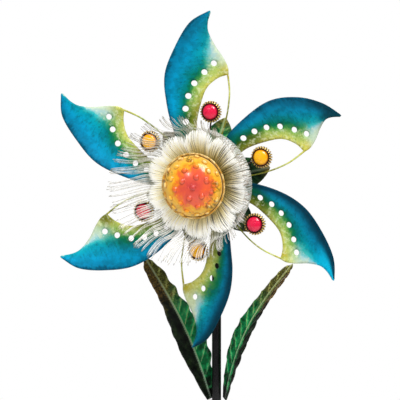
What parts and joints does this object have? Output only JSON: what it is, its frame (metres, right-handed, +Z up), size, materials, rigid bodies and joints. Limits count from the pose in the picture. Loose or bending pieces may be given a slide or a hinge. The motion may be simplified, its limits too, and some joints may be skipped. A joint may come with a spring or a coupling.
{
  "type": "wind spinner",
  "caption": "Garden wind spinner: a flower of curled, pierced sheet blades with glass gems and a bumpy glass centre, turning on a spindle atop a leafed ground stake.",
  "frame": {"origin": "on the pole's axis at ground level, where the underside of the fork's step bar meets the soil", "axes": "+Z up along the pole; the flower faces -Y and turns about the Y axis; +X to the right as seen from behind the flower looking at its back, which is the viewer's right when facing the flower"},
  "size_m": [0.3998, 0.1805, 1.2254],
  "materials": {
    "black_frame": "gloss black enamel on steel",
    "green_leaf": "embossed sheet, brushed green enamel darkened to black-green in the veins, bronze at the tips",
    "steel_hardware": "zinc-plated, satin",
    "nylon_bush": "natural nylon",
    "blue_blade": "mottled translucent enamel graded from blue through teal and green to yellow, semi-gloss",
    "bronze_wire": "dark bronze",
    "bronze_bezel": "dark bronze with rubbed gold teeth",
    "red_glass": "domed red glass with streaks, gloss",
    "amber_glass": "domed amber glass with streaks, gloss",
    "white_film": "thin translucent film slit into fine filaments, satin",
    "white_fibre": "fine pale fibres, yellow-olive towards the centre",
    "gold_rim": "aged gold",
    "coral_glass": "bumpy coral glass, orange to amber at the rim, gloss"
  },
  "bodies": {
    "stake": {"step_bar": "black_frame", "prong_left": "black_frame", "prong_right": "black_frame", "ground_spike": "black_frame", "pole_socket": "black_frame", "lower_pole": "black_frame", "pole_coupling": "black_frame", "upper_pole": "black_frame", "leaf_collar": "black_frame", "leaf_stalk_left": "black_frame", "leaf_stalk_right": "black_frame", "stem_leaf_left": "green_leaf", "stem_leaf_right": "green_leaf", "spindle_head": "black_frame", "head_set_screw": "steel_hardware", "spindle": "steel_hardware", "jam_nut": "steel_hardware", "rear_spacer": "steel_hardware", "mid_spacer": "steel_hardware", "lock_nut": "steel_hardware"},
    "leaf_wheel": {"leaf_bush": "nylon_bush", "leaf_plate": "black_frame", "leaf_clamp_ring": "black_frame", "rear_leaf_1": "green_leaf", "rear_leaf_2": "green_leaf", "rear_leaf_3": "green_leaf", "rear_leaf_4": "green_leaf", "rear_leaf_5": "green_leaf", "rear_leaf_6": "green_leaf"},
    "flower_wheel": {"hub_barrel": "steel_hardware", "bearing_rear": "steel_hardware", "bearing_front": "steel_hardware", "blade_plate": "black_frame", "clamp_ring": "steel_hardware", "blade_1": "blue_blade", "blade_2": "blue_blade", "blade_3": "blue_blade", "blade_4": "blue_blade", "blade_5": "blue_blade", "blade_6": "blue_blade", "gem_stems": "bronze_wire", "bezel_1": "bronze_bezel", "bezel_2": "bronze_bezel", "bezel_3": "bronze_bezel", "bezel_4": "bronze_bezel", "bezel_5": "bronze_bezel", "bezel_6": "bronze_bezel", "gem_1": "red_glass", "gem_2": "amber_glass", "gem_3": "red_glass", "gem_4": "amber_glass", "gem_5": "red_glass", "gem_6": "amber_glass", "corona_outer": "white_film", "corona_inner": "white_fibre", "dome_cup": "gold_rim", "dome_glass": "coral_glass"}
  },
  "joints": [
    {"name": "flower_spin", "type": "hinge", "parent": "stake", "child": "flower_wheel", "pos_m": [0, -0.062, 0.835], "axis": [0, -1, 0], "continuous": true},
    {"name": "leaf_spin", "type": "hinge", "parent": "stake", "child": "leaf_wheel", "pos_m": [0, -0.041, 0.835], "axis": [0, -1, 0], "continuous": true}
  ]
}
